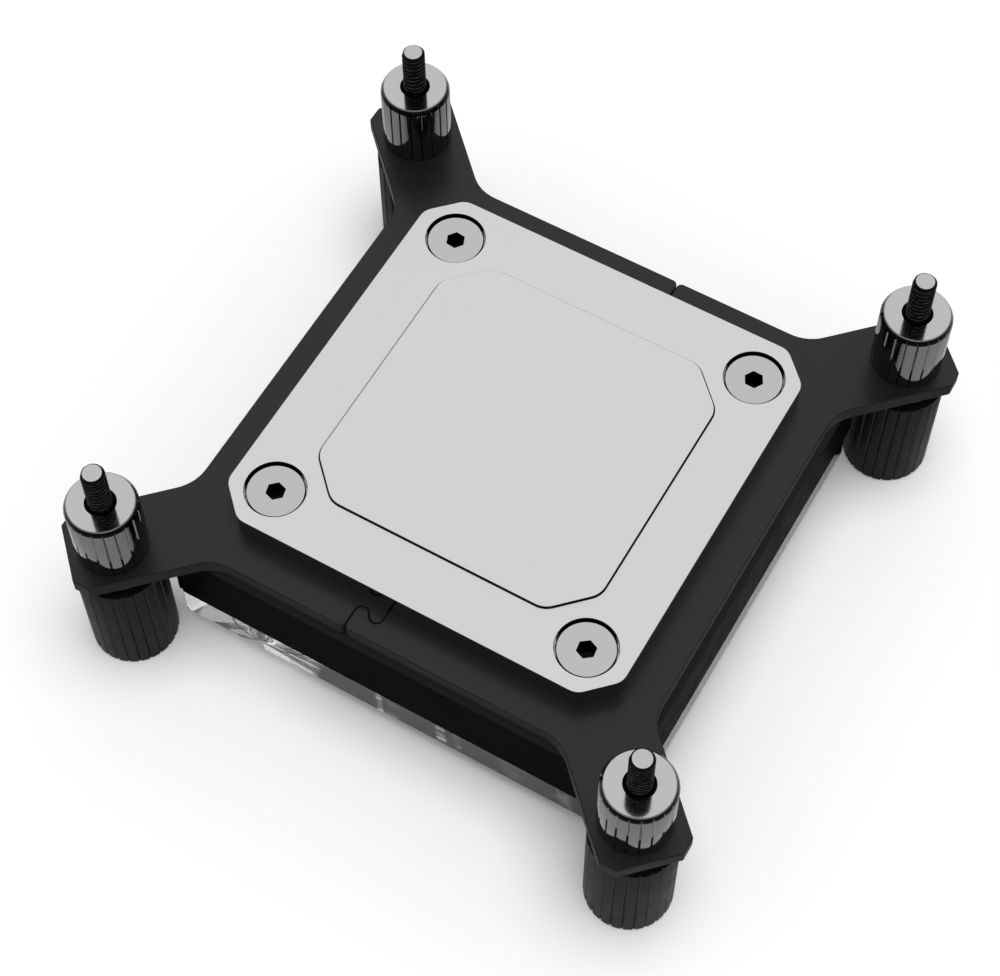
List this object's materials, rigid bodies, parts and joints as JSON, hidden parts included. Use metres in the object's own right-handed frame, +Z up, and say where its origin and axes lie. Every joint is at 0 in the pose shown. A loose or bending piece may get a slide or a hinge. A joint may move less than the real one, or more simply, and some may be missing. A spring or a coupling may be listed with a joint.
{
  "type": "cpu water block",
  "caption": "Square processor water block lying cold plate up: nickel plate in a split black bracket with knurled collars, black frame and clear top, on thumb nuts.",
  "frame": {"origin": "middle of the footprint, at the level of the feet of the four thumb nuts", "axes": "+X to the right along the front edge, +Y to the back, +Z up, the way the cold plate faces and the studs point"},
  "size_m": [0.0928, 0.0928, 0.0414],
  "materials": {
    "nickel": "plated, brushed on the face",
    "black_metal": "matt black",
    "black_plastic": "satin black",
    "clear_acrylic": "polished clear acrylic",
    "steel": "brushed",
    "seal_rubber": "matt"
  },
  "bodies": {
    "root": {"stud_1": "nickel", "stud_2": "nickel", "stud_3": "nickel", "stud_4": "nickel", "thumb_nut_1": "black_metal", "thumb_nut_2": "black_metal", "thumb_nut_3": "black_metal", "thumb_nut_4": "black_metal", "washer_1": "black_plastic", "washer_2": "black_plastic", "washer_3": "black_plastic", "washer_4": "black_plastic", "collar_1": "nickel", "collar_2": "nickel", "collar_3": "nickel", "collar_4": "nickel", "cold_plate_screw_1": "nickel", "cold_plate_screw_2": "nickel", "cold_plate_screw_3": "nickel", "cold_plate_screw_4": "nickel", "bracket_half_left": "black_metal", "bracket_half_right": "black_metal", "cold_plate": "nickel", "black_frame": "black_plastic", "clear_top": "clear_acrylic", "jet_plate": "steel", "seal_ring": "seal_rubber"}
  },
  "joints": []
}
